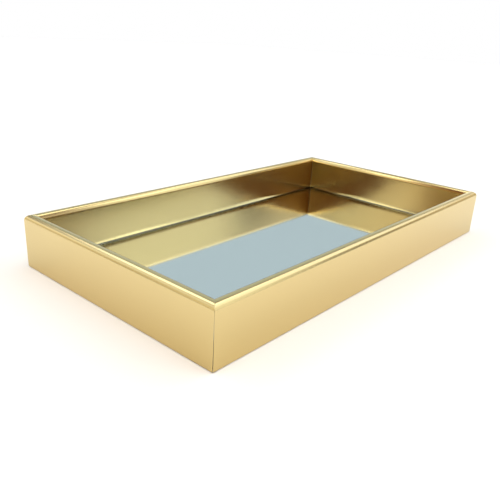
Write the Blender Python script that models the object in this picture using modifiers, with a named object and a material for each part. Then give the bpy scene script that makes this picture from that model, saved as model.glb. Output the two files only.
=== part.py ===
"""Mirrored dresser vanity tray.

Four mitred rails of half-round-topped moulding stand on edge around a silvered mirror. Each rail has a
rabbet along its inner foot. The mirror and its backing board go into it from below, thin steel points
pushed into the feet hold them there, and a sheet of felt covers the board and carries the tray. Two
V-nails, one above the other, pull each mitre together.

The tray lies with its length along X, its depth along Y and its base on Z = 0. Every rail is modelled
in a frame of its own: X along the rail, Y inwards from its outer face, Z up from its foot.
"""

import math

import bmesh
import bpy
from mathutils import Matrix, Vector

TRAY_NAME = "vanity_tray"

# Overall sizes, in metres
TRAY_LENGTH = 0.400
TRAY_DEPTH = 0.222
RAIL_HEIGHT = 0.0455

# Moulding
WALL = 0.010
RABBET_WIDTH = 0.0045
FOOT_ARRIS = 0.0006
LIP_TURN_HEIGHT = 0.0046  # how far above the rabbet the inner face starts to turn under
LIP_TURN = 20 / 90  # how steeply the lip leans back where it ends, in quarter turns
LIP_ARRIS = 0.0003  # the lip's own lower edge
ARC_STEPS = 10  # steps in each quarter turn of the moulding's rounds

# Sheets between the rails, from the dresser upwards
FELT_THICKNESS = 0.0009
FELT_PROUD = 0.0003  # how far the felt stands below the rails' feet
BOARD_THICKNESS = 0.0018
GLASS_THICKNESS = 0.0030
GLASS_ARRIS = 0.0003
SHEET_CORNER = 0.0020  # corner radius of the felt

# Points that hold the board
POINT_THICKNESS = 0.0003
POINT_WIDTH = 0.0060
POINT_TIP = 0.0020  # length of the pointed end
POINT_REACH = 0.0055  # how far a point stands out of the foot, over the board
POINT_COVER = 0.0020  # how much of the foot is left outside a point's tip
POINTS_ON_LONG_RAIL = 4
POINTS_ON_SHORT_RAIL = 2

# V-nails across the mitres
NAIL_SHEET = 0.0006
NAIL_WING = 0.0060
NAIL_HEIGHT = 0.0100
NAIL_SINK = 0.0005  # how far the lowest nail is driven past the foot
NAILS_IN_MITRE = 2

# Clearances
FIT_GAP = 0.0003  # between faces that rest on each other
EDGE_GAP = 0.0005  # around the sheets, inside the feet
MITRE_GAP = 0.0003  # across each mitre
DRIVEN_GAP = 0.00025  # around steel driven into the moulding

# Levels and widths that follow from the sizes above
FOOT_WIDTH = WALL - RABBET_WIDTH
RAIL_FOOT = FELT_PROUD
POINT_LEVEL = FELT_THICKNESS + FIT_GAP
BOARD_LEVEL = POINT_LEVEL + POINT_THICKNESS + FIT_GAP
GLASS_LEVEL = BOARD_LEVEL + BOARD_THICKNESS + FIT_GAP
LIP_LEVEL = GLASS_LEVEL + GLASS_THICKNESS + FIT_GAP
RABBET_HEIGHT = LIP_LEVEL - RAIL_FOOT
SHEET_LENGTH = TRAY_LENGTH - 2 * (FOOT_WIDTH + EDGE_GAP)
SHEET_DEPTH = TRAY_DEPTH - 2 * (FOOT_WIDTH + EDGE_GAP)
MITRE_CUT_BACK = MITRE_GAP / math.sqrt(2)

CUT_PAST = 0.001  # how far a cutter reaches outside what it cuts
SHARP_ANGLE = math.radians(35)

QUARTER_TURN = math.pi / 2
# side: (the tray's size that its rail spans, its number of points, centre of its outer face, turns)
SIDES = {
    "front": (TRAY_LENGTH, POINTS_ON_LONG_RAIL, Vector((0, -TRAY_DEPTH / 2, 0)), 0),
    "right": (TRAY_DEPTH, POINTS_ON_SHORT_RAIL, Vector((TRAY_LENGTH / 2, 0, 0)), 1),
    "back": (TRAY_LENGTH, POINTS_ON_LONG_RAIL, Vector((0, TRAY_DEPTH / 2, 0)), 2),
    "left": (TRAY_DEPTH, POINTS_ON_SHORT_RAIL, Vector((-TRAY_LENGTH / 2, 0, 0)), 3),
}
# corner: (its outer corner, turns)
CORNERS = {
    "front_left": (Vector((-TRAY_LENGTH / 2, -TRAY_DEPTH / 2, 0)), 0),
    "front_right": (Vector((TRAY_LENGTH / 2, -TRAY_DEPTH / 2, 0)), 1),
    "back_right": (Vector((TRAY_LENGTH / 2, TRAY_DEPTH / 2, 0)), 2),
    "back_left": (Vector((-TRAY_LENGTH / 2, TRAY_DEPTH / 2, 0)), 3),
}


def clear_scene():
    for scene_object in list(bpy.data.objects):
        bpy.data.objects.remove(scene_object, do_unlink=True)


def new_collection(name):
    collection = bpy.data.collections.new(name)
    bpy.context.scene.collection.children.link(collection)
    return collection


def linear(hex_colour):
    """An sRGB hex colour as linear RGBA."""
    channels = [int(hex_colour[i : i + 2], 16) / 255 for i in (0, 2, 4)]
    return [c / 12.92 if c <= 0.04045 else ((c + 0.055) / 1.055) ** 2.4 for c in channels] + [1]


def new_material(name, hex_colour, roughness, metallic):
    material = bpy.data.materials.new(name)
    material.use_nodes = True
    shader = material.node_tree.nodes["Principled BSDF"]
    shader.inputs["Base Color"].default_value = linear(hex_colour)
    shader.inputs["Roughness"].default_value = roughness
    shader.inputs["Metallic"].default_value = metallic
    return material


def arc(centre_x, centre_y, radius, start, end):
    """Points of an arc from one angle to another, both in quarter turns, with its ends."""
    steps = math.ceil(abs(end - start) * ARC_STEPS)
    angles = [(start + (end - start) * i / steps) * QUARTER_TURN for i in range(steps + 1)]
    return [(centre_x + radius * math.cos(a), centre_y + radius * math.sin(a)) for a in angles]


def extruded(outline, thickness):
    """A mesh of the outline, in X and Y, with its thickness centred on Z = 0."""
    curve = bpy.data.curves.new("outline", "CURVE")
    curve.dimensions = "2D"
    curve.fill_mode = "BOTH"
    curve.extrude = thickness / 2
    spline = curve.splines.new("POLY")
    spline.points.add(len(outline) - 1)
    for point, (x, y) in zip(spline.points, outline):
        point.co = (x, y, 0, 1)
    spline.use_cyclic_u = True
    holder = bpy.data.objects.new("outline", curve)
    bpy.context.scene.collection.objects.link(holder)
    evaluated = holder.evaluated_get(bpy.context.evaluated_depsgraph_get())
    mesh = bpy.data.meshes.new_from_object(evaluated)
    bpy.data.objects.remove(holder)
    weld(mesh)
    return mesh


def weld(mesh):
    """Joins the loose caps of a filled curve to its sides."""
    shape = bmesh.new()
    shape.from_mesh(mesh)
    bmesh.ops.remove_doubles(shape, verts=shape.verts, dist=1e-6)
    bmesh.ops.recalc_face_normals(shape, faces=shape.faces)
    shape.to_mesh(mesh)
    shape.free()


def boxes(box_list):
    """A mesh of separate boxes, each given by its low and its high corner."""
    mesh = bpy.data.meshes.new("boxes")
    shape = bmesh.new()
    for low, high in box_list:
        size = [b - a for a, b in zip(low, high)]
        middle = [(a + b) / 2 for a, b in zip(low, high)]
        bmesh.ops.create_cube(shape, size=1, matrix=Matrix.LocRotScale(middle, None, size))
    shape.to_mesh(mesh)
    shape.free()
    return mesh


def place(collection, name, mesh, material, parent, location=(0, 0, 0), turns=0):
    """A new object, turned about Z by a number of quarter turns."""
    piece = bpy.data.objects.new(name, mesh)
    collection.objects.link(piece)
    if material:
        mesh.materials.clear()
        mesh.materials.append(material)
    piece.parent = parent
    piece.location = location
    piece.rotation_euler.z = turns * QUARTER_TURN
    return piece


def cut(piece, cutter_mesh, cutters):
    """Cuts a piece by a mesh given in the piece's own frame."""
    cutter = place(cutters, f"{piece.name}_cutter", cutter_mesh, None, piece)
    cutter.display_type = "WIRE"
    cutter.hide_render = True
    boolean = piece.modifiers.new("Pockets", "BOOLEAN")
    boolean.operation = "DIFFERENCE"
    boolean.solver = "EXACT"
    boolean.object = cutter


def moulding_outline():
    """The moulding's section, as Y inwards and Z up: outer face, half round, inner face, lip, rabbet."""
    top_radius = WALL / 2
    top_centre = RAIL_HEIGHT - top_radius
    lip_top = RABBET_HEIGHT + LIP_TURN_HEIGHT
    turn_angle = LIP_TURN * QUARTER_TURN
    turn_reach = (LIP_TURN_HEIGHT - LIP_ARRIS) / math.sin(turn_angle)
    turn_centre = WALL - turn_reach - LIP_ARRIS
    arris_centre = turn_centre + turn_reach * math.cos(turn_angle)
    return [
        (FOOT_WIDTH, 0),
        *arc(FOOT_ARRIS, FOOT_ARRIS, FOOT_ARRIS, 3, 2),
        *arc(top_radius, top_centre, top_radius, 2, 0),
        *arc(turn_centre, lip_top, turn_reach + LIP_ARRIS, 0, -LIP_TURN),
        *arc(arris_centre, RABBET_HEIGHT + LIP_ARRIS, LIP_ARRIS, -LIP_TURN, -1)[1:],
        (FOOT_WIDTH, RABBET_HEIGHT),
    ]


def rail_mesh(along):
    """The moulding as long as one side of the tray, with both ends cut to the mitre."""
    mesh = extruded(moulding_outline(), along)
    mesh.transform(Matrix(((0, 0, 1, 0), (1, 0, 0, 0), (0, 1, 0, 0), (0, 0, 0, 1))))
    for vertex in mesh.vertices:
        end = along / 2 - vertex.co.y - MITRE_CUT_BACK
        vertex.co.x = math.copysign(end, vertex.co.x)
    mesh.shade_smooth()
    mesh.set_sharp_from_angle(angle=SHARP_ANGLE)
    return mesh


def point_positions(along, count):
    """Where the points' centres lie along a rail: evenly spread over the board's edge."""
    pitch = (along - 2 * WALL) / count
    return [pitch * (i + 0.5 - count / 2) for i in range(count)]


def nail_levels():
    """The heights of each nail's lower edge above the rail's foot."""
    return [NAIL_SINK + i * (NAIL_HEIGHT + FIT_GAP) for i in range(NAILS_IN_MITRE)]


def pocket_boxes(along, point_count):
    """What the driven steel leaves in one rail: a slot for each point, a pocket for each mitre's nails."""
    slot_half = POINT_WIDTH / 2 + DRIVEN_GAP
    slot_level = POINT_LEVEL - RAIL_FOOT
    slots = [
        (
            (x - slot_half, POINT_COVER - DRIVEN_GAP, slot_level - DRIVEN_GAP),
            (x + slot_half, FOOT_WIDTH + CUT_PAST, slot_level + POINT_THICKNESS + DRIVEN_GAP),
        )
        for x in point_positions(along, point_count)
    ]
    pocket_half = NAIL_SHEET / 2 + DRIVEN_GAP
    middle = FOOT_WIDTH / 2
    outer_end, inner_end = along / 2, along / 2 - middle - NAIL_WING - DRIVEN_GAP
    pocket_top = nail_levels()[-1] + NAIL_HEIGHT + DRIVEN_GAP
    pockets = [
        ((low_x, middle - pocket_half, -CUT_PAST), (high_x, middle + pocket_half, pocket_top))
        for low_x, high_x in ((-outer_end, -inner_end), (inner_end, outer_end))
    ]
    return slots + pockets


def point_mesh():
    """One point: a thin tab along Y, its pointed end in the foot, its lower face at Z = 0."""
    half = POINT_WIDTH / 2
    shoulder = POINT_COVER + POINT_TIP
    free_end = FOOT_WIDTH + POINT_REACH
    corner = POINT_TIP / 2
    outline = [
        (0, POINT_COVER),
        (half, shoulder),
        *arc(half - corner, free_end - corner, corner, 0, 1),
        *arc(corner - half, free_end - corner, corner, 1, 2),
        (-half, shoulder),
    ]
    mesh = extruded(outline, POINT_THICKNESS)
    mesh.transform(Matrix.Translation((0, 0, POINT_THICKNESS / 2)))
    return mesh


def nail_mesh():
    """One V-nail: two wings that start on the mitre, one along each rail, with its lower edge at Z = 0."""
    outer = FOOT_WIDTH / 2 - NAIL_SHEET / 2
    inner = FOOT_WIDTH / 2 + NAIL_SHEET / 2
    end = FOOT_WIDTH / 2 + NAIL_WING
    outline = [(outer, outer), (end, outer), (end, inner), (inner, inner), (inner, end), (outer, end)]
    mesh = extruded(outline, NAIL_HEIGHT)
    mesh.transform(Matrix.Translation((0, 0, NAIL_HEIGHT / 2)))
    return mesh


def build_rails(pieces, cutters, parent, foil):
    level = Vector((0, 0, RAIL_FOOT))
    for side, (along, count, outer_face, turns) in SIDES.items():
        rail = place(pieces, f"{side}_rail", rail_mesh(along), foil, parent, outer_face + level, turns)
        cut(rail, boxes(pocket_boxes(along, count)), cutters)


def build_points(pieces, parent, steel):
    """Every point is a node of its own, numbered from left to right as seen from outside the rail."""
    mesh = point_mesh()
    for side, (along, count, outer_face, turns) in SIDES.items():
        along_rail = Matrix.Rotation(turns * QUARTER_TURN, 3, "Z")
        for number, x in enumerate(point_positions(along, count), start=1):
            location = outer_face + along_rail @ Vector((x, 0, POINT_LEVEL))
            place(pieces, f"{side}_point_{number}", mesh, steel, parent, location, turns)


def build_nails(pieces, parent, steel):
    """Every V-nail is a node of its own, numbered upwards from the foot."""
    mesh = nail_mesh()
    for corner, (outer_corner, turns) in CORNERS.items():
        for number, level in enumerate(nail_levels(), start=1):
            location = outer_corner + Vector((0, 0, RAIL_FOOT + level))
            place(pieces, f"{corner}_v_nail_{number}", mesh, steel, parent, location, turns)


def build_mirror(pieces, parent, silvered):
    low = (-SHEET_LENGTH / 2, -SHEET_DEPTH / 2, GLASS_LEVEL)
    high = (SHEET_LENGTH / 2, SHEET_DEPTH / 2, GLASS_LEVEL + GLASS_THICKNESS)
    mirror = place(pieces, "mirror_glass", boxes([(low, high)]), silvered, parent)
    arris = mirror.modifiers.new("Arris", "BEVEL")
    arris.width = GLASS_ARRIS
    arris.segments = 1


def build_board(pieces, parent, hardboard):
    low = (-SHEET_LENGTH / 2, -SHEET_DEPTH / 2, BOARD_LEVEL)
    high = (SHEET_LENGTH / 2, SHEET_DEPTH / 2, BOARD_LEVEL + BOARD_THICKNESS)
    place(pieces, "backing_board", boxes([(low, high)]), hardboard, parent)


def build_felt(pieces, parent, felt):
    across, up = SHEET_LENGTH / 2 - SHEET_CORNER, SHEET_DEPTH / 2 - SHEET_CORNER
    outline = [
        *arc(across, up, SHEET_CORNER, 0, 1),
        *arc(-across, up, SHEET_CORNER, 1, 2),
        *arc(-across, -up, SHEET_CORNER, 2, 3),
        *arc(across, -up, SHEET_CORNER, 3, 4),
    ]
    level = (0, 0, FELT_THICKNESS / 2)
    place(pieces, "base_felt", extruded(outline, FELT_THICKNESS), felt, parent, level)


def main():
    clear_scene()
    pieces = new_collection(TRAY_NAME)
    cutters = new_collection(f"{TRAY_NAME}_cutters")
    tray = bpy.data.objects.new(TRAY_NAME, None)
    pieces.objects.link(tray)

    foil = new_material("gold_foil", "D8BE84", 0.3, 1.0)
    silvered = new_material("silvered_glass", "D5DCDC", 0.03, 1.0)
    hardboard = new_material("hardboard", "8A6440", 0.75, 0.0)
    felt = new_material("black_felt", "1C1B1D", 0.95, 0.0)
    zinc_steel = new_material("zinc_plated_steel", "B9BCBF", 0.35, 1.0)

    build_rails(pieces, cutters, tray, foil)
    build_mirror(pieces, tray, silvered)
    build_board(pieces, tray, hardboard)
    build_points(pieces, tray, zinc_steel)
    build_nails(pieces, tray, zinc_steel)
    build_felt(pieces, tray, felt)


main()
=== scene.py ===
"""Mirrored dresser vanity tray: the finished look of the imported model.

Four lengths of satin gold moulding stand on edge round a silvered mirror, mitred at the corners. Behind the
mirror come a hardboard back, the steel points that hold it and a sheet of black felt. V-nails close the
mitres from below. Each of these is a piece or a group of like pieces, made by an operator of its own.
"""

import math

import bmesh
import bpy
from mathutils import Matrix, Vector, noise


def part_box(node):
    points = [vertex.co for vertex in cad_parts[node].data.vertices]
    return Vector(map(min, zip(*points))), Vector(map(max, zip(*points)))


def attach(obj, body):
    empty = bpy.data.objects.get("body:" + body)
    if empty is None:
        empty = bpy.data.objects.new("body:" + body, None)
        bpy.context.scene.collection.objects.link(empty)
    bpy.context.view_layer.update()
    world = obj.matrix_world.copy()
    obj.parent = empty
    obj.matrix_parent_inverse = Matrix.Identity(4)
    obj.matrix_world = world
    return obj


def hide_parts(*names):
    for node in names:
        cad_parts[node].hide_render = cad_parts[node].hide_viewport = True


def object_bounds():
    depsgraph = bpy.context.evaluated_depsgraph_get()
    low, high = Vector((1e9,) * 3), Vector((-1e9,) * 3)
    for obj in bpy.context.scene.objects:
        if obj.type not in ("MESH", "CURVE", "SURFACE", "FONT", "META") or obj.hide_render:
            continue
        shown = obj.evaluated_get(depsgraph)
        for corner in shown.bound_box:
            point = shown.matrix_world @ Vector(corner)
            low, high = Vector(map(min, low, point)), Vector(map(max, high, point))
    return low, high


bl_info = {
    "name": "Mirrored Vanity Tray",
    "version": (1, 0, 0),
    "blender": (4, 5, 0),
    "location": "3D View > Sidebar > Vanity Tray",
    "description": "Builds a mitred gold vanity tray with a mirror floor, and a plain studio round it",
    "category": "Add Mesh",
}

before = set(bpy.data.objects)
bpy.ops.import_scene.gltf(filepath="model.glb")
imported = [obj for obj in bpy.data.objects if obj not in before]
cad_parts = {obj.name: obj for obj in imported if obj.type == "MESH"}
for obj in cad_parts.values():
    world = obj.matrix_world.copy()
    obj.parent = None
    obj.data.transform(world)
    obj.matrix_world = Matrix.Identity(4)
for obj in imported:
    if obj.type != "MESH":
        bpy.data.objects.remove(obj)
CAD_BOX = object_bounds()

MM = 0.001
QUARTER_TURN = math.pi / 2
BODY = "root"

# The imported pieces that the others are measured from
TRAY_LOW, TRAY_HIGH = CAD_BOX
RAIL_LOW, RAIL_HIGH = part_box("front_rail")
GLASS_LOW, GLASS_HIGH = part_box("mirror_glass")
FELT_LOW, FELT_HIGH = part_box("base_felt")
POINT_LOW, POINT_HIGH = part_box("front_point_1")
BOARD_LOW, BOARD_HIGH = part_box("backing_board")
NAIL_LOW, NAIL_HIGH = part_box("front_left_v_nail_1")
UPPER_NAIL_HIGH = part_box("front_left_v_nail_2")[1]

FIT_GAP = 0.3 * MM  # between the glass and the lip above it
EDGE_GAP = 0.5 * MM  # between the glass and the foot beside it
WALL = RAIL_HIGH.y - RAIL_LOW.y
FOOT_WIDTH = GLASS_LOW.y - EDGE_GAP - TRAY_LOW.y
RAIL_HEIGHT = RAIL_HIGH.z - RAIL_LOW.z
LIP_HEIGHT = GLASS_HIGH.z + FIT_GAP - RAIL_LOW.z
DRIVEN_GAP = 0.25 * MM  # left round driven steel by the slit that it cuts
NAIL_OUTER = NAIL_LOW.x - TRAY_LOW.x  # from a corner's outer faces to its nails
NAIL_INNER = FOOT_WIDTH - NAIL_OUTER
NAIL_REACH = NAIL_HIGH.x - TRAY_LOW.x
FELT_CORNER = 2 * MM

# side: (length of its rail, middle of its outer face, quarter turns from the front)
SIDES = {
    "front": (TRAY_HIGH.x - TRAY_LOW.x, Vector((0, TRAY_LOW.y, 0)), 0),
    "right": (TRAY_HIGH.y - TRAY_LOW.y, Vector((TRAY_HIGH.x, 0, 0)), 1),
    "back": (TRAY_HIGH.x - TRAY_LOW.x, Vector((0, TRAY_HIGH.y, 0)), 2),
    "left": (TRAY_HIGH.y - TRAY_LOW.y, Vector((TRAY_LOW.x, 0, 0)), 3),
}
# corner: (its outer corner, quarter turns from the front left)
CORNERS = {
    "front_left": (Vector((TRAY_LOW.x, TRAY_LOW.y, 0)), 0),
    "front_right": (Vector((TRAY_HIGH.x, TRAY_LOW.y, 0)), 1),
    "back_right": (Vector((TRAY_HIGH.x, TRAY_HIGH.y, 0)), 2),
    "back_left": (Vector((TRAY_LOW.x, TRAY_HIGH.y, 0)), 3),
}


# ---------------------------------------------------------------- settings


def hex_colour(name, description, value):
    """A text property that holds an sRGB hex colour."""
    return bpy.props.StringProperty(name=name, description=description, default=value, maxlen=6)


def length(name, description, millimetres):
    return bpy.props.FloatProperty(
        name=name, description=description, default=millimetres * MM, min=0, unit="LENGTH", precision=5
    )


def share(name, description, value):
    return bpy.props.FloatProperty(
        name=name, description=description, default=value, min=0, max=1, subtype="FACTOR"
    )


class MouldingSettings(bpy.types.PropertyGroup):
    foil_colour: hex_colour("Foil", "Colour of the gold foil seen face on", "DFC98B")
    foil_edge_colour: hex_colour("Foil at a low angle", "Colour of the foil seen along its surface", "FFF7E1")
    # Painted shade on the outer faces: its colour, and how strongly it darkens them toward the foot
    foot_shade_colour: hex_colour("Painted foot shade colour", "What multiplies the gold where the foot shade is painted in full", "C9BC74")
    foil_roughness: share("Foil roughness", "How far the satin foil blurs what it reflects", 0.22)
    lacquer: share("Lacquer", "How much clear lacquer lies over the foil", 1.0)
    painted_foot_shade: share("Painted foot shade", "How much painted shade darkens the gold at the foot of the outer faces", 0.42)
    core_colour: hex_colour("Core", "Colour of the bare polystyrene under the foil", "CFC6B4")
    foot_arris: length("Foot arris", "Radius of the outer edge at the foot", 0.6)
    lip_height: length("Lip turn height", "How far above the mirror the inner face starts to turn under", 4.6)
    lip_lean: bpy.props.FloatProperty(
        name="Lip lean",
        description="How far back the inner face leans where it meets the mirror",
        default=math.radians(20),
        unit="ROTATION",
    )
    lip_arris: length("Lip arris", "Radius of the edge above the mirror", 0.3)
    mitre_arris: length("Mitre arris", "Width of the foil's turn at each mitre", 0.12)
    seam_at_foot: length("Seam at the foot", "Width of the open mitre at the foot", 0.42)
    seam_at_rim: length("Seam at the rim", "Width of the open mitre at the rim", 0.06)


class MirrorSettings(bpy.types.PropertyGroup):
    glass_colour: hex_colour("Glass", "Tint of the float glass", "F3F9F8")
    silver_colour: hex_colour("Silver", "Colour of the silvering behind the glass", "E9EDEE")
    edge_arris: length("Seamed edge", "Width of the arris ground along the cut edge", 0.3)


class BackSettings(bpy.types.PropertyGroup):
    board_colour: hex_colour("Hardboard", "Colour of the board's face", "7A5434")
    felt_colour: hex_colour("Felt", "Colour of the felt under the tray", "1B1A1C")
    felt_lift: length("Felt unevenness", "Height of the felt's soft unevenness", 0.12)
    board_arris: length("Board arris", "Easing of the board's edges", 0.15)
    felt_edge: length("Felt edge", "Rounding of the felt's cut edge", 0.3)
    steel_arris: length("Steel arris", "Easing of the points' and nails' edges", 0.05)
    steel_colour: hex_colour("Zinc plate", "Colour of the plated points and nails", "B9BDC2")


class StageSettings(bpy.types.PropertyGroup):
    floor_colour: hex_colour("Floor", "Colour of the plain floor", "F6F5F3")
    lens: bpy.props.FloatProperty(
        name="Lens", description="Focal length of the camera", default=40.24, unit="CAMERA"
    )


# ---------------------------------------------------------------- helpers


def linear(hex_text):
    """An sRGB hex colour as linear RGBA."""
    channels = [int(hex_text[i : i + 2], 16) / 255 for i in (0, 2, 4)]
    return [c / 12.92 if c <= 0.04045 else ((c + 0.055) / 1.055) ** 2.4 for c in channels] + [1.0]


def shaded(hex_text, share_of_light):
    """A hex colour as linear RGBA, made darker or lighter."""
    return [channel * share_of_light for channel in linear(hex_text)[:3]] + [1]


def add_node(tree, kind, inputs=None, **settings):
    """A new node with its settings. A value in inputs is a number, or an output socket to link from."""
    node = tree.nodes.new(kind)
    for name, value in settings.items():
        setattr(node, name, value)
    for key, value in (inputs or {}).items():
        if isinstance(value, bpy.types.NodeSocket):
            tree.links.new(value, node.inputs[key])
        else:
            node.inputs[key].default_value = value
    return node


def new_material(name):
    """An empty material with its output node: (material, tree, output)."""
    material = bpy.data.materials.new(name)
    material.use_nodes = True
    tree = material.node_tree
    tree.nodes.clear()
    return material, tree, tree.nodes.new("ShaderNodeOutputMaterial")


def bent(quarter_turns, location=(0, 0, 0)):
    """The matrix that places a side's or a corner's own frame in the tray's."""
    return Matrix.Translation(location) @ Matrix.Rotation(quarter_turns * QUARTER_TURN, 4, "Z")


def new_object(name, data):
    piece = bpy.data.objects.new(name, data)
    bpy.context.scene.collection.objects.link(piece)
    return piece


def applied(piece, matrix=None):
    """Turns a piece's modifiers into its plain mesh, placed by the matrix, and removes them."""
    evaluated = piece.evaluated_get(bpy.context.evaluated_depsgraph_get())
    mesh = bpy.data.meshes.new_from_object(evaluated)
    name = piece.name
    bpy.data.objects.remove(piece)
    if matrix is not None:
        mesh.transform(matrix)
    mesh.name = name
    return new_object(name, mesh)


def smooth(piece, sharp_degrees=35):
    piece.data.shade_smooth()
    piece.data.set_sharp_from_angle(angle=math.radians(sharp_degrees))


def settle(piece, slot, *nodes):
    """Rides the finished piece on the tray, in place of its CAD nodes. The slot is not used."""
    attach(piece, BODY)
    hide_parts(*nodes)


def nodes_named(part):
    """The CAD nodes whose name holds a word, such as _point_."""
    return sorted(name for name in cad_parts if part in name)


def arc(centre_x, centre_y, radius, start, end, steps):
    """Points of an arc from one angle to another, in quarter turns, ends included."""
    angles = [(start + (end - start) * i / steps) * QUARTER_TURN for i in range(steps + 1)]
    return [(centre_x + radius * math.cos(angle), centre_y + radius * math.sin(angle)) for angle in angles]


def rectangle(low, high, corner=0):
    """The outline of a sheet between two corners of a box, with its own corners rounded."""
    if not corner:
        return [(low.x, low.y), (high.x, low.y), (high.x, high.y), (low.x, high.y)]
    centres = [
        (low.x + corner, low.y + corner),
        (high.x - corner, low.y + corner),
        (high.x - corner, high.y - corner),
        (low.x + corner, high.y - corner),
    ]
    steps = 5
    corners = [arc(x, y, corner, turn + 2, turn + 3, steps) for turn, (x, y) in enumerate(centres)]
    return [point for rounded in corners for point in rounded]


def plate(outline, bottom, top, arris, segments=1):
    """A flat solid over an outline, as a new bmesh, with its edges eased by an arris."""
    shape = bmesh.new()
    base = shape.faces.new([shape.verts.new((x, y, bottom)) for x, y in outline])
    raised = bmesh.ops.extrude_face_region(shape, geom=[base])
    lifted = [each for each in raised["geom"] if isinstance(each, bmesh.types.BMVert)]
    bmesh.ops.translate(shape, verts=lifted, vec=(0, 0, top - bottom))
    if arris:
        edges = shape.edges[:]
        bmesh.ops.bevel(shape, geom=edges, offset=arris, segments=segments, profile=0.5, affect="EDGES")
    bmesh.ops.recalc_face_normals(shape, faces=shape.faces)
    return shape


def piece_from(name, shape, *materials):
    """A new object from a bmesh, with its materials."""
    mesh = bpy.data.meshes.new(name)
    shape.to_mesh(mesh)
    shape.free()
    for material in materials:
        mesh.materials.append(material)
    return new_object(name, mesh)


def outline_curve(name, outline, cyclic=True):
    """A flat poly curve through an outline's points."""
    curve = bpy.data.curves.new(name, "CURVE")
    curve.dimensions = "2D"
    curve.fill_mode = "NONE"
    spline = curve.splines.new("POLY")
    spline.points.add(len(outline) - 1)
    for point, (x, y) in zip(spline.points, outline):
        point.co = (x, y, 0, 1)
    spline.use_cyclic_u = cyclic
    return curve


# ---------------------------------------------------------------- materials


def satin_gold_foil(moulding):
    """Hot-stamped gold foil under clear lacquer, on moulded polystyrene: a metal skin with a soft satin blur
    and paler highlights. The pressed skin is slightly uneven, so long reflections waver a little."""
    material, tree, output = new_material("satin_gold_foil_hot_stamped")
    place = add_node(tree, "ShaderNodeTexCoord")
    waver_size, grain_size, relief = 25 * MM, 0.7 * MM, 0.1 * MM
    uneven_blur = 0.02
    # Unevenness of the pressed skin
    waver = add_node(
        tree,
        "ShaderNodeTexNoise",
        {"Vector": place.outputs["Object"], "Scale": 1 / waver_size, "Detail": 2.0},
    )
    # Satin grain of the foil, drawn coarser than it is so that it shows
    grain = add_node(
        tree,
        "ShaderNodeTexNoise",
        {"Vector": place.outputs["Object"], "Scale": 1 / grain_size, "Detail": 3.0},
    )
    rough = add_node(
        tree,
        "ShaderNodeMapRange",
        {
            "Value": waver.outputs["Fac"],
            "From Min": 0.3,
            "From Max": 0.7,
            "To Min": moulding.foil_roughness - uneven_blur,
            "To Max": moulding.foil_roughness + uneven_blur,
        },
    )
    tint = add_node(tree, "ShaderNodeMix", {"Factor": grain.outputs["Fac"]}, data_type="RGBA")
    tint.inputs["A"].default_value = linear(moulding.foil_colour)
    tint.inputs["B"].default_value = shaded(moulding.foil_colour, 0.94)
    # Painted shade: the outer faces turn darker and warmer from the rim down to the foot, standing in for
    # the darker, shaded floor beside the tray that they reflect. They are the faces that look away from the
    # middle of the tray.
    place_xyz = add_node(tree, "ShaderNodeSeparateXYZ", {"Vector": place.outputs["Object"]})
    facing = add_node(
        tree,
        "ShaderNodeVectorMath",
        {0: place.outputs["Normal"], 1: place.outputs["Object"]},
        operation="DOT_PRODUCT",
    )
    outer = add_node(tree, "ShaderNodeMath", {0: facing.outputs["Value"], 1: 0.0}, operation="GREATER_THAN")
    shade_toward_foot = add_node(
        tree,
        "ShaderNodeMapRange",
        {
            "Value": place_xyz.outputs["Z"],
            "From Min": RAIL_HEIGHT,
            "From Max": 0,
            "To Max": moulding.painted_foot_shade,
        },
    )
    painted_shade = add_node(
        tree,
        "ShaderNodeMath",
        {0: outer.outputs["Value"], 1: shade_toward_foot.outputs["Result"]},
        operation="MULTIPLY",
    )
    # Painted shade: the gold multiplied by the shade colour, more strongly toward the foot
    gold_with_painted_shade = add_node(
        tree,
        "ShaderNodeMix",
        {"Factor": painted_shade.outputs["Value"]},
        data_type="RGBA",
        blend_type="MULTIPLY",
    )
    tree.links.new(tint.outputs["Result"], gold_with_painted_shade.inputs["A"])
    # The colour of the painted shade at the foot
    gold_with_painted_shade.inputs["B"].default_value = linear(moulding.foot_shade_colour)
    fine = add_node(
        tree,
        "ShaderNodeBump",
        {"Height": grain.outputs["Fac"], "Strength": 0.03, "Distance": relief},
    )
    broad = add_node(
        tree,
        "ShaderNodeBump",
        {
            "Height": waver.outputs["Fac"],
            "Strength": 0.15,
            "Distance": relief,
            "Normal": fine.outputs["Normal"],
        },
    )
    shader = add_node(
        tree,
        "ShaderNodeBsdfPrincipled",
        {
            # The gold with its painted shade toward the foot
            "Base Color": gold_with_painted_shade.outputs["Result"],
            "Metallic": 1.0,
            "Specular Tint": linear(moulding.foil_edge_colour),
            "Roughness": rough.outputs["Result"],
            "Coat Weight": moulding.lacquer,
            "Coat Roughness": moulding.foil_roughness,
            "Coat IOR": 1.5,
            "Normal": broad.outputs["Normal"],
            "Coat Normal": broad.outputs["Normal"],
        },
    )
    tree.links.new(shader.outputs["BSDF"], output.inputs["Surface"])
    return material


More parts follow.
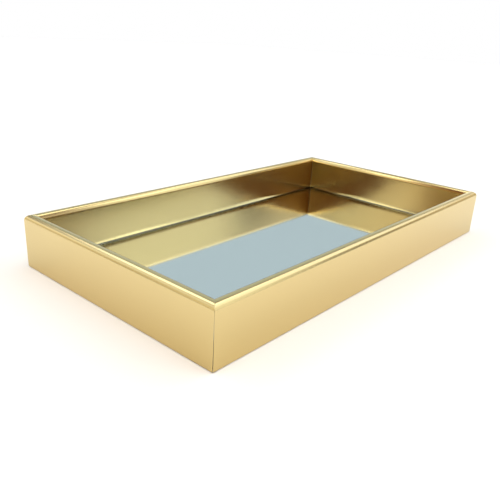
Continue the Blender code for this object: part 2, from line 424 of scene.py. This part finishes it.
def bare_polystyrene(moulding):
    """The moulding's core where it was sawn and routed: dull, off-white and slightly speckled."""
    material, tree, output = new_material("bare_polystyrene_sawn")
    place = add_node(tree, "ShaderNodeTexCoord")
    cell_size = 0.8 * MM
    cells = add_node(
        tree,
        "ShaderNodeTexNoise",
        {"Vector": place.outputs["Object"], "Scale": 1 / cell_size, "Detail": 4.0},
    )
    tone = add_node(tree, "ShaderNodeMix", {"Factor": cells.outputs["Fac"]}, data_type="RGBA")
    tone.inputs["A"].default_value = linear(moulding.core_colour)
    tone.inputs["B"].default_value = shaded(moulding.core_colour, 0.75)
    bump = add_node(
        tree,
        "ShaderNodeBump",
        {"Height": cells.outputs["Fac"], "Strength": 0.4, "Distance": 0.1 * MM},
    )
    shader = add_node(
        tree,
        "ShaderNodeBsdfPrincipled",
        {
            "Base Color": tone.outputs["Result"],
            "Roughness": 0.7,
            "IOR": 1.59,
            "Normal": bump.outputs["Normal"],
        },
    )
    tree.links.new(shader.outputs["BSDF"], output.inputs["Surface"])
    return material


def float_glass(mirror):
    """Clear float glass: it bends what is seen through it and tints it a very faint green."""
    material, tree, output = new_material("float_glass_polished")
    shader = add_node(
        tree,
        "ShaderNodeBsdfPrincipled",
        {
            "Base Color": linear(mirror.glass_colour),
            "Roughness": 0.0,
            "IOR": 1.52,
            "Transmission Weight": 1.0,
        },
    )
    tree.links.new(shader.outputs["BSDF"], output.inputs["Surface"])
    return material


def silvering(mirror):
    """Silver laid on the back of the glass: a perfect mirror a touch darker than the glass in front of it."""
    material, tree, output = new_material("silvering_on_glass")
    shader = add_node(
        tree,
        "ShaderNodeBsdfPrincipled",
        {"Base Color": linear(mirror.silver_colour), "Metallic": 1.0, "Roughness": 0.0},
    )
    tree.links.new(shader.outputs["BSDF"], output.inputs["Surface"])
    return material


def hardboard(back):
    """Pressed hardboard: dense brown fibre with a slight gloss on its face."""
    material, tree, output = new_material("hardboard_pressed")
    place = add_node(tree, "ShaderNodeTexCoord")
    fibre_size = 1.5 * MM
    fibre = add_node(
        tree,
        "ShaderNodeTexNoise",
        {"Vector": place.outputs["Object"], "Scale": 1 / fibre_size, "Detail": 6.0, "Distortion": 2.0},
    )
    tone = add_node(tree, "ShaderNodeMix", {"Factor": fibre.outputs["Fac"]}, data_type="RGBA")
    tone.inputs["A"].default_value = linear(back.board_colour)
    tone.inputs["B"].default_value = shaded(back.board_colour, 0.6)
    bump = add_node(
        tree,
        "ShaderNodeBump",
        {"Height": fibre.outputs["Fac"], "Strength": 0.3, "Distance": 0.1 * MM},
    )
    shader = add_node(
        tree,
        "ShaderNodeBsdfPrincipled",
        {"Base Color": tone.outputs["Result"], "Roughness": 0.6, "Normal": bump.outputs["Normal"]},
    )
    tree.links.new(shader.outputs["BSDF"], output.inputs["Surface"])
    return material


def needled_felt(back):
    """Black needled felt: matted fibres that catch a little light edge on."""
    material, tree, output = new_material("black_felt_needled")
    place = add_node(tree, "ShaderNodeTexCoord")
    fibre_size, tuft_size = 1.2 * MM, 7 * MM
    fibres = add_node(
        tree,
        "ShaderNodeTexNoise",
        {"Vector": place.outputs["Object"], "Scale": 1 / fibre_size, "Detail": 8.0, "Distortion": 1.5},
    )
    tufts = add_node(
        tree,
        "ShaderNodeTexNoise",
        {"Vector": place.outputs["Object"], "Scale": 1 / tuft_size, "Detail": 2.0},
    )
    tone = add_node(tree, "ShaderNodeMix", {"Factor": fibres.outputs["Fac"]}, data_type="RGBA")
    tone.inputs["A"].default_value = shaded(back.felt_colour, 0.6)
    tone.inputs["B"].default_value = shaded(back.felt_colour, 2.2)
    height = add_node(
        tree,
        "ShaderNodeMath",
        {0: fibres.outputs["Fac"], 1: tufts.outputs["Fac"]},
        operation="ADD",
    )
    bump = add_node(
        tree,
        "ShaderNodeBump",
        {"Height": height.outputs["Value"], "Strength": 0.8, "Distance": 0.3 * MM},
    )
    shader = add_node(
        tree,
        "ShaderNodeBsdfPrincipled",
        {
            "Base Color": tone.outputs["Result"],
            "Roughness": 0.95,
            "Sheen Weight": 0.3,
            "Sheen Roughness": 0.5,
            "Normal": bump.outputs["Normal"],
        },
    )
    tree.links.new(shader.outputs["BSDF"], output.inputs["Surface"])
    return material


def zinc_plated_steel(back):
    """Bright zinc plate on stamped steel strip: a bluish metal with a faint spangle."""
    material, tree, output = new_material("zinc_plated_steel_stamped")
    place = add_node(tree, "ShaderNodeTexCoord")
    spangle_size = 1.0 * MM
    spangle = add_node(
        tree, "ShaderNodeTexVoronoi", {"Vector": place.outputs["Object"], "Scale": 1 / spangle_size}
    )
    rough = add_node(
        tree, "ShaderNodeMapRange", {"Value": spangle.outputs["Distance"], "To Min": 0.25, "To Max": 0.45}
    )
    shader = add_node(
        tree,
        "ShaderNodeBsdfPrincipled",
        {"Base Color": linear(back.steel_colour), "Metallic": 1.0, "Roughness": rough.outputs["Result"]},
    )
    tree.links.new(shader.outputs["BSDF"], output.inputs["Surface"])
    return material


# ---------------------------------------------------------------- rails


def moulding_section(moulding):
    """The moulding's section, as X inwards from the outer face and Y up from the foot. A point close to each
    end of a flat face keeps its shading flat."""
    radius = WALL / 2
    foot, arris, lean = moulding.foot_arris, moulding.lip_arris, moulding.lip_lean
    flat_from = 0.2 * MM
    rim_steps, lip_steps, arris_steps = 48, 16, 6
    crown, lip_top = RAIL_HEIGHT - radius, LIP_HEIGHT + moulding.lip_height
    reach = (moulding.lip_height - arris) / math.sin(lean)
    lip_centre = WALL - reach - arris
    arris_centre = lip_centre + reach * math.cos(lean)
    lean_turn = lean / QUARTER_TURN
    return [
        (FOOT_WIDTH, 0),
        (foot + flat_from, 0),
        *arc(foot, foot, foot, 3, 2, arris_steps),
        (0, foot + flat_from),
        (0, crown - flat_from),
        *arc(radius, crown, radius, 2, 0, rim_steps),
        (WALL, crown - flat_from),
        (WALL, lip_top + flat_from),
        *arc(lip_centre, lip_top, reach + arris, 0, -lean_turn, lip_steps),
        *arc(arris_centre, LIP_HEIGHT + arris, arris, -lean_turn, -1, arris_steps)[1:],
        (FOOT_WIDTH, LIP_HEIGHT),
    ]


def socket_id(tree, name):
    """The identifier of a group's input, by its name."""
    return next(item.identifier for item in tree.interface.items_tree if item.name == name)


def moulding_tree():
    """Sweeps a section along X and cuts both ends to a 45 degree mitre that opens towards the foot.

    The section arrives as a flat curve, X inwards and Y up. The result has X along the rail, Y inwards
    and Z up."""
    tree = bpy.data.node_groups.new("Mitred Moulding", "GeometryNodeTree")
    face = tree.interface
    face.new_socket("Section", in_out="INPUT", socket_type="NodeSocketGeometry")
    for name in ("Length", "Height", "Foot Width", "Lip Height", "Seam At Foot", "Seam At Rim"):
        face.new_socket(name, in_out="INPUT", socket_type="NodeSocketFloat").subtype = "DISTANCE"
    for name in ("Foil", "Core"):
        face.new_socket(name, in_out="INPUT", socket_type="NodeSocketMaterial")
    face.new_socket("Moulding", in_out="OUTPUT", socket_type="NodeSocketGeometry")
    given = add_node(tree, "NodeGroupInput").outputs

    def maths(operation, *values):
        node = add_node(tree, "ShaderNodeMath", dict(enumerate(values)), operation=operation)
        return node.outputs["Value"]

    def greater(value, limit):
        node = add_node(tree, "FunctionNodeCompare", {"A": value, "B": limit}, operation="GREATER_THAN")
        return node.outputs["Result"]

    def either(*tests):
        joined = tests[0]
        for test in tests[1:]:
            node = add_node(tree, "FunctionNodeBooleanMath", {0: joined, 1: test}, operation="OR")
            joined = node.outputs["Boolean"]
        return joined

    end = add_node(tree, "ShaderNodeCombineXYZ", {"X": given["Length"]})
    path = add_node(tree, "GeometryNodeCurvePrimitiveLine", {"End": end.outputs["Vector"]})
    # A swept section stands upside down and inside out, so it is turned first and its faces flipped
    upright = add_node(
        tree, "GeometryNodeTransform", {"Geometry": given["Section"], "Rotation": (0, 0, math.pi)}
    )
    swept = add_node(
        tree,
        "GeometryNodeCurveToMesh",
        {"Curve": path.outputs["Curve"], "Profile Curve": upright.outputs["Geometry"], "Fill Caps": True},
    )
    outwards = add_node(tree, "GeometryNodeFlipFaces", {"Mesh": swept.outputs["Mesh"]})
    # Where each point lies: X from 0 to the length along the path, and the section in Y and Z
    position = add_node(tree, "GeometryNodeInputPosition").outputs["Position"]
    at = add_node(tree, "ShaderNodeSeparateXYZ", {"Vector": position})
    half = maths("MULTIPLY", given["Length"], 0.5)
    end_sign = maths("SIGN", maths("SUBTRACT", at.outputs["X"], half))
    inwards, up = at.outputs["Y"], at.outputs["Z"]
    rise = maths("DIVIDE", up, given["Height"])
    seam = maths(
        "ADD",
        maths("MULTIPLY", given["Seam At Foot"], maths("SUBTRACT", 1.0, rise)),
        maths("MULTIPLY", given["Seam At Rim"], rise),
    )
    # Each end gives up half the seam, which the 45 degree cut makes longer along the rail
    cut_back = maths("MULTIPLY", seam, math.sqrt(2) / 2)
    mitred = maths("MULTIPLY", end_sign, maths("SUBTRACT", maths("SUBTRACT", half, inwards), cut_back))
    place = add_node(tree, "ShaderNodeCombineXYZ", {"X": mitred, "Y": inwards, "Z": up})
    moved = add_node(
        tree,
        "GeometryNodeSetPosition",
        {"Geometry": outwards.outputs["Mesh"], "Position": place.outputs["Vector"]},
    )
    real = add_node(tree, "GeometryNodeRealizeInstances", {"Geometry": moved.outputs["Geometry"]})
    # Foil covers what shows and wraps under the lip. The sawn ends, the foot and the rabbet are bare.
    normal = add_node(
        tree, "ShaderNodeSeparateXYZ", {"Vector": add_node(tree, "GeometryNodeInputNormal").outputs["Normal"]}
    )
    skin = 0.01 * MM
    in_rabbet = add_node(
        tree,
        "FunctionNodeBooleanMath",
        {
            0: greater(maths("SUBTRACT", given["Lip Height"], skin), up),
            1: greater(inwards, maths("SUBTRACT", given["Foot Width"], skin)),
        },
        operation="AND",
    ).outputs["Boolean"]
    bare = either(
        greater(maths("ABSOLUTE", normal.outputs["X"]), 0.5),
        greater(skin, up),
        in_rabbet,
    )
    foiled = add_node(
        tree, "GeometryNodeSetMaterial", {"Geometry": real.outputs["Geometry"], "Material": given["Foil"]}
    )
    cored = add_node(
        tree,
        "GeometryNodeSetMaterial",
        {"Geometry": foiled.outputs["Geometry"], "Selection": bare, "Material": given["Core"]},
    )
    add_node(tree, "NodeGroupOutput", {"Moulding": cored.outputs["Geometry"]})
    return tree


def ease_ends(rail, arris):
    """Turns the foil a little over the edge of both sawn ends."""
    shape = bmesh.new()
    shape.from_mesh(rail.data)
    ends = sorted(shape.faces, key=lambda face: len(face.verts))[-2:]
    rims = [edge for end in ends for edge in end.edges]
    bmesh.ops.bevel(shape, geom=rims, offset=arris, segments=1, profile=0.5, affect="EDGES")
    shape.to_mesh(rail.data)
    shape.free()


def nail_outline(grown=0):
    """A V-nail from above: two wings from its corner, one along each rail. It may be grown on every side."""
    near, far, end = NAIL_OUTER - grown, NAIL_INNER + grown, NAIL_REACH + grown
    return [(near, near), (end, near), (end, far), (far, far), (far, end), (near, end)]


def nail_slits(along):
    """What the nails cut from one rail's foot: a slit at each end, as one bmesh in the rail's own frame."""
    slits = bmesh.new()
    below_foot = -1 * MM
    top = UPPER_NAIL_HIGH.z - RAIL_LOW.z + DRIVEN_GAP
    for quarter_turns, end in ((0, -along / 2), (1, along / 2)):
        slit = plate(nail_outline(DRIVEN_GAP), below_foot, top, 0)
        slit.transform(bent(quarter_turns, (end, 0, 0)))
        mesh = bpy.data.meshes.new("slit")
        slit.to_mesh(mesh)
        slit.free()
        slits.from_mesh(mesh)
        bpy.data.meshes.remove(mesh)
    return slits


class VANITY_OT_rails(bpy.types.Operator):
    """Sweep the moulding into four mitred rails"""

    bl_idname = "vanity_tray.rails"
    bl_label = "Add Rails"
    bl_options = {"REGISTER", "UNDO"}

    def execute(self, context):
        moulding = context.scene.vanity_moulding
        tree = moulding_tree()
        foil, core = satin_gold_foil(moulding), bare_polystyrene(moulding)
        for side, (along, outer_face, turns) in SIDES.items():
            section = outline_curve(f"{side}_section", moulding_section(moulding))
            rail = new_object(f"{side}_moulding", section)
            sweep = rail.modifiers.new("Mitred Moulding", "NODES")
            sweep.node_group = tree
            values = {
                "Length": along,
                "Height": RAIL_HEIGHT,
                "Foot Width": FOOT_WIDTH,
                "Lip Height": LIP_HEIGHT,
                "Seam At Foot": moulding.seam_at_foot,
                "Seam At Rim": moulding.seam_at_rim,
                "Foil": foil,
                "Core": core,
            }
            for name, value in values.items():
                sweep[socket_id(tree, name)] = value
            rail = applied(rail)
            ease_ends(rail, moulding.mitre_arris)
            slits = piece_from(f"{side}_slits", nail_slits(along), core)
            cut = rail.modifiers.new("Nail Slits", "BOOLEAN")
            cut.operation = "DIFFERENCE"
            cut.solver = "EXACT"
            cut.material_mode = "TRANSFER"
            cut.object = slits
            rail = applied(rail, bent(turns, outer_face + Vector((0, 0, RAIL_LOW.z))))
            bpy.data.objects.remove(slits)
            smooth(rail)
            settle(rail, "gold_foil", f"{side}_rail")
        return {"FINISHED"}


# ---------------------------------------------------------------- mirror


class VANITY_OT_mirror(bpy.types.Operator):
    """Cut the mirror: a slab of glass with seamed edges, silvered underneath"""

    bl_idname = "vanity_tray.mirror"
    bl_label = "Add Mirror"
    bl_options = {"REGISTER", "UNDO"}

    def execute(self, context):
        mirror = context.scene.vanity_mirror
        shape = plate(rectangle(GLASS_LOW, GLASS_HIGH), GLASS_LOW.z, GLASS_HIGH.z, mirror.edge_arris, 2)
        for face in shape.faces:
            face.material_index = 1 if face.normal.z < -0.99 else 0
        piece = piece_from("mirror", shape, float_glass(mirror), silvering(mirror))
        settle(piece, "silvered_glass", "mirror_glass")
        return {"FINISHED"}


# ---------------------------------------------------------------- back


class VANITY_OT_backing_board(bpy.types.Operator):
    """Cut the hardboard that backs the mirror"""

    bl_idname = "vanity_tray.backing_board"
    bl_label = "Add Backing Board"
    bl_options = {"REGISTER", "UNDO"}

    def execute(self, context):
        back = context.scene.vanity_back
        shape = plate(rectangle(BOARD_LOW, BOARD_HIGH), BOARD_LOW.z, BOARD_HIGH.z, back.board_arris, 2)
        board = piece_from("hardboard_back", shape, hardboard(back))
        settle(board, "hardboard", "backing_board")
        return {"FINISHED"}


def driven_steel_tree():
    """Sets the same small steel shape at every place of another object, each turned about Z."""
    tree = bpy.data.node_groups.new("Driven Steel", "GeometryNodeTree")
    face = tree.interface
    face.new_socket("Shape", in_out="INPUT", socket_type="NodeSocketGeometry")
    face.new_socket("Places", in_out="INPUT", socket_type="NodeSocketObject")
    face.new_socket("Turn", in_out="INPUT", socket_type="NodeSocketString")
    face.new_socket("Steel", in_out="INPUT", socket_type="NodeSocketMaterial")
    face.new_socket("Pieces", in_out="OUTPUT", socket_type="NodeSocketGeometry")
    given = add_node(tree, "NodeGroupInput").outputs
    places = add_node(tree, "GeometryNodeObjectInfo", {"Object": given["Places"]})
    turn = add_node(tree, "GeometryNodeInputNamedAttribute", {"Name": given["Turn"]}, data_type="FLOAT")
    euler = add_node(tree, "ShaderNodeCombineXYZ", {"Z": turn.outputs["Attribute"]})
    rotation = add_node(tree, "FunctionNodeEulerToRotation", {"Euler": euler.outputs["Vector"]})
    copies = add_node(
        tree,
        "GeometryNodeInstanceOnPoints",
        {
            "Points": places.outputs["Geometry"],
            "Instance": given["Shape"],
            "Rotation": rotation.outputs["Rotation"],
        },
    )
    real = add_node(tree, "GeometryNodeRealizeInstances", {"Geometry": copies.outputs["Instances"]})
    plated = add_node(
        tree, "GeometryNodeSetMaterial", {"Geometry": real.outputs["Geometry"], "Material": given["Steel"]}
    )
    add_node(tree, "NodeGroupOutput", {"Pieces": plated.outputs["Geometry"]})
    return tree


def drive(name, shape, places, steel, *nodes):
    """Sets a steel shape at each of its places, given as (location, quarter turns), as one piece."""
    spots = bpy.data.meshes.new(f"{name}_places")
    spots.from_pydata([location for location, quarter_turns in places], [], [])
    turn = spots.attributes.new("turn", "FLOAT", "POINT")
    for value, (location, quarter_turns) in zip(turn.data, places):
        value.value = quarter_turns * QUARTER_TURN
    spots = new_object(spots.name, spots)
    piece = piece_from(name, shape)
    repeat = piece.modifiers.new("Driven Steel", "NODES")
    repeat.node_group = driven_steel_tree()
    for socket, value in {"Places": spots, "Turn": "turn", "Steel": steel}.items():
        repeat[socket_id(repeat.node_group, socket)] = value
    piece = applied(piece)
    bpy.data.objects.remove(spots)
    settle(piece, "zinc_plated_steel", *nodes)


def point_outline():
    """A point from above, along Y from its tip to its free end, about the middle of its own box."""
    half_width, half_length = (POINT_HIGH.x - POINT_LOW.x) / 2, (POINT_HIGH.y - POINT_LOW.y) / 2
    tip = corner = half_width * 2 / 3
    return [
        (0, -half_length),
        (half_width, tip - half_length),
        *arc(half_width - corner / 2, half_length - corner / 2, corner / 2, 0, 1, 4),
        *arc(corner / 2 - half_width, half_length - corner / 2, corner / 2, 1, 2, 4),
        (-half_width, tip - half_length),
    ]


class VANITY_OT_points(bpy.types.Operator):
    """Drive the steel points that hold the board against the mirror"""

    bl_idname = "vanity_tray.points"
    bl_label = "Add Points"
    bl_options = {"REGISTER", "UNDO"}

    def execute(self, context):
        back = context.scene.vanity_back
        nodes = nodes_named("_point_")
        half_thickness = (POINT_HIGH.z - POINT_LOW.z) / 2
        shape = plate(point_outline(), -half_thickness, half_thickness, back.steel_arris)
        places = [(sum(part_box(node), Vector()) / 2, SIDES[node.split("_")[0]][2]) for node in nodes]
        drive("framers_points", shape, places, zinc_plated_steel(back), *nodes)
        return {"FINISHED"}


class VANITY_OT_v_nails(bpy.types.Operator):
    """Drive the V-nails that close the mitres"""

    bl_idname = "vanity_tray.v_nails"
    bl_label = "Add V-Nails"
    bl_options = {"REGISTER", "UNDO"}

    def execute(self, context):
        back = context.scene.vanity_back
        nodes = nodes_named("_v_nail_")
        shape = plate(nail_outline(), 0, NAIL_HIGH.z - NAIL_LOW.z, back.steel_arris)
        places = []
        for node in nodes:
            outer_corner, quarter_turns = CORNERS[node.split("_v_nail_")[0]]
            places.append((outer_corner + Vector((0, 0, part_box(node)[0].z)), quarter_turns))
        drive("v_nails", shape, places, zinc_plated_steel(back), *nodes)
        return {"FINISHED"}


class VANITY_OT_felt(bpy.types.Operator):
    """Lay the black felt that covers the underside"""

    bl_idname = "vanity_tray.felt"
    bl_label = "Add Felt"
    bl_options = {"REGISTER", "UNDO"}

    def execute(self, context):
        back = context.scene.vanity_back
        outline = rectangle(FELT_LOW, FELT_HIGH, FELT_CORNER)
        shape = plate(outline, FELT_LOW.z, FELT_HIGH.z, back.felt_edge, 3)
        # Cut into squares, so that the underside can rise and fall
        square = 6 * MM
        for axis in range(2):
            normal = Vector((axis == 0, axis == 1, 0))
            for step in range(1, int((FELT_HIGH - FELT_LOW)[axis] / square)):
                everything = shape.verts[:] + shape.edges[:] + shape.faces[:]
                place = FELT_LOW + normal * step * square
                bmesh.ops.bisect_plane(shape, geom=everything, plane_co=place, plane_no=normal)
        flat_margin, wave = 2 * MM, 25 * MM
        middle = (FELT_LOW.z + FELT_HIGH.z) / 2
        for vertex in shape.verts:
            inside = all(
                FELT_LOW[i] + flat_margin < vertex.co[i] < FELT_HIGH[i] - flat_margin for i in range(2)
            )
            if inside and vertex.co.z < middle:
                rise = 0.5 + 0.5 * noise.noise(vertex.co / wave)
                vertex.co.z += back.felt_lift * rise
        felt = piece_from("felt_base", shape, needled_felt(back))
        smooth(felt)
        settle(felt, "black_felt", "base_felt")
        return {"FINISHED"}


# ---------------------------------------------------------------- stage


# Soft lights of the studio, far from the tray: (heading, elevation, radius, soft edge, brightness, colour).
# Angles are in degrees. A heading turns from the back of the tray towards its right side. The lip lights
# are the ones that the lip above the mirror catches, and the last two are the dim room itself.
SOFT_LIGHTS = {
    "overhead": (200, 82, 22, 6, 1.9, "FFFFFC"),
    "high_right": (98, 56, 11, 4, 1.0, "FFFFFF"),
    "high_front": (222, 58, 14, 6, 5.3, "FFFFFF"),
    "high_left": (312, 54, 10, 4, 2.0, "FFF9EA"),
    "front": (176, 22, 12, 5, 0.55, "FFFFFF"),
    "right_front": (146, 16, 18, 6, 1.22, "FDFFFD"),
    "right": (112, 38, 18, 5, 1.65, "F8FAFF"),
    "right_low": (105, 6, 14, 5, 0.65, "FFF0D0"),
    "left": (300, 16, 17, 6, 0.96, "FFF9E4"),
    "left_back": (331, 30, 12, 5, 1.08, "FDFEFF"),
    "left_low": (334, 6, 15, 5, 0.85, "FFF4DC"),
    "back": (354, 47, 11, 4, 2.6, "FAFBFF"),
    "room": (45, 24, 30, 12, 0.68, "E8F9FF"),
    "lip_right": (150, 42, 11, 4, 2.2, "FFFFFF"),
    "lip_left": (303, 41, 10, 4, 2.0, "FFFFFF"),
    "far_right": (84, 7, 16, 7, 0.9, "FFF6E4"),
    "left_front": (276, 13, 10, 6, 0.22, "FFE6B0"),
    "ceiling": (112, 71, 13, 7, 1.0, "FFFFFF"),
    "walls": (0, 90, 95, 10, 0.03, "FFE2B8"),
    "panelling": (238, 18, 58, 18, 0.17, "FF9C28"),
}

# The camera: its place in metres, and its turns in degrees
CAMERA_PLACE = (-0.4064, -0.3132, 0.1937)
CAMERA_HEADING = -49.27
CAMERA_DIP = 21.22
CAMERA_ROLL = 3.10
NEAREST_SEEN = 10 * MM
FLOOR_HALF_WIDTH = 6  # metres


def heading(degrees, elevation):
    """The direction from the tray at a heading from its back towards its right side."""
    turn, rise = math.radians(degrees), math.radians(elevation)
    return Vector((math.sin(turn) * math.cos(rise), math.cos(turn) * math.cos(rise), math.sin(rise)))


def studio_world(lights):
    """A dim room with round soft lights in it. What the camera sees past the floor is a white backdrop."""
    world = bpy.data.worlds.new("studio")
    world.use_nodes = True
    tree = world.node_tree
    tree.nodes.clear()
    toward = add_node(tree, "ShaderNodeTexCoord").outputs["Generated"]
    lit = add_node(tree, "ShaderNodeCombineXYZ").outputs["Vector"]
    for turn, rise, radius, edge, brightness, colour in lights.values():
        nearness = add_node(
            tree, "ShaderNodeVectorMath", {0: toward, 1: heading(turn, rise)}, operation="DOT_PRODUCT"
        )
        glow = add_node(
            tree,
            "ShaderNodeMapRange",
            {
                "Value": nearness.outputs["Value"],
                "From Min": math.cos(math.radians(radius + edge)),
                "From Max": math.cos(math.radians(radius - edge)),
            },
            interpolation_type="SMOOTHSTEP",
        )
        shone = add_node(
            tree,
            "ShaderNodeVectorMath",
            {0: shaded(colour, brightness)[:3], "Scale": glow.outputs["Result"]},
            operation="SCALE",
        )
        both = add_node(tree, "ShaderNodeVectorMath", {0: lit, 1: shone.outputs["Vector"]}, operation="ADD")
        lit = both.outputs["Vector"]
    room = add_node(tree, "ShaderNodeBackground", {"Color": lit})
    backdrop = add_node(tree, "ShaderNodeBackground", {"Color": linear("FFFFFF")})
    path = add_node(tree, "ShaderNodeLightPath")
    seen = add_node(
        tree,
        "ShaderNodeMixShader",
        {0: path.outputs["Is Camera Ray"], 1: room.outputs["Background"], 2: backdrop.outputs["Background"]},
    )
    add_node(tree, "ShaderNodeOutputWorld", {"Surface": seen.outputs["Shader"]})
    return world


class VANITY_OT_stage(bpy.types.Operator):
    """Set up the camera, the pale floor and the soft lights"""

    bl_idname = "vanity_tray.stage"
    bl_label = "Add Stage"
    bl_options = {"REGISTER", "UNDO"}

    def execute(self, context):
        stage = context.scene.vanity_stage
        context.scene.view_settings.view_transform = "Standard"
        data = bpy.data.cameras.new("camera")
        data.lens = stage.lens
        data.clip_start = NEAREST_SEEN
        camera = new_object("camera", data)
        camera.matrix_world = (
            Matrix.Translation(CAMERA_PLACE)
            @ Matrix.Rotation(math.radians(CAMERA_HEADING), 4, "Z")
            @ Matrix.Rotation(math.radians(90 - CAMERA_DIP), 4, "X")
            @ Matrix.Rotation(math.radians(CAMERA_ROLL), 4, "Z")
        )
        context.scene.camera = camera
        floor_mesh = bpy.data.meshes.new("floor")
        shape = bmesh.new()
        bmesh.ops.create_grid(shape, x_segments=1, y_segments=1, size=FLOOR_HALF_WIDTH)
        shape.to_mesh(floor_mesh)
        shape.free()
        floor = new_object("floor", floor_mesh)
        floor.location.z = -0.1 * MM
        material, tree, output = new_material("plain_floor")
        paint = {"Base Color": linear(stage.floor_colour), "Roughness": 0.8}
        shader = add_node(tree, "ShaderNodeBsdfPrincipled", paint)
        tree.links.new(shader.outputs["BSDF"], output.inputs["Surface"])
        floor_mesh.materials.append(material)
        context.scene.world = studio_world(SOFT_LIGHTS)
        return {"FINISHED"}


class VANITY_PT_panel(bpy.types.Panel):
    """The tray's pieces and its studio, in the order in which they are made"""

    bl_idname = "VANITY_PT_panel"
    bl_label = "Mirrored Vanity Tray"
    bl_space_type = "VIEW_3D"
    bl_region_type = "UI"
    bl_category = "Vanity Tray"

    def draw(self, context):
        for operator in OPERATORS:
            self.layout.operator(operator.bl_idname)


OPERATORS = (
    VANITY_OT_stage,
    VANITY_OT_rails,
    VANITY_OT_mirror,
    VANITY_OT_backing_board,
    VANITY_OT_points,
    VANITY_OT_v_nails,
    VANITY_OT_felt,
)
CLASSES = (MouldingSettings, MirrorSettings, BackSettings, StageSettings, *OPERATORS, VANITY_PT_panel)


def register():
    for each in CLASSES:
        bpy.utils.register_class(each)
    bpy.types.Scene.vanity_moulding = bpy.props.PointerProperty(type=MouldingSettings)
    bpy.types.Scene.vanity_mirror = bpy.props.PointerProperty(type=MirrorSettings)
    bpy.types.Scene.vanity_back = bpy.props.PointerProperty(type=BackSettings)
    bpy.types.Scene.vanity_stage = bpy.props.PointerProperty(type=StageSettings)


def unregister():
    del bpy.types.Scene.vanity_stage
    del bpy.types.Scene.vanity_back
    del bpy.types.Scene.vanity_mirror
    del bpy.types.Scene.vanity_moulding
    for each in reversed(CLASSES):
        bpy.utils.unregister_class(each)


def main():
    register()
    bpy.ops.vanity_tray.stage()
    bpy.ops.vanity_tray.rails()
    bpy.ops.vanity_tray.mirror()
    bpy.ops.vanity_tray.backing_board()
    bpy.ops.vanity_tray.points()
    bpy.ops.vanity_tray.v_nails()
    bpy.ops.vanity_tray.felt()


if __name__ == "__main__":
    main()
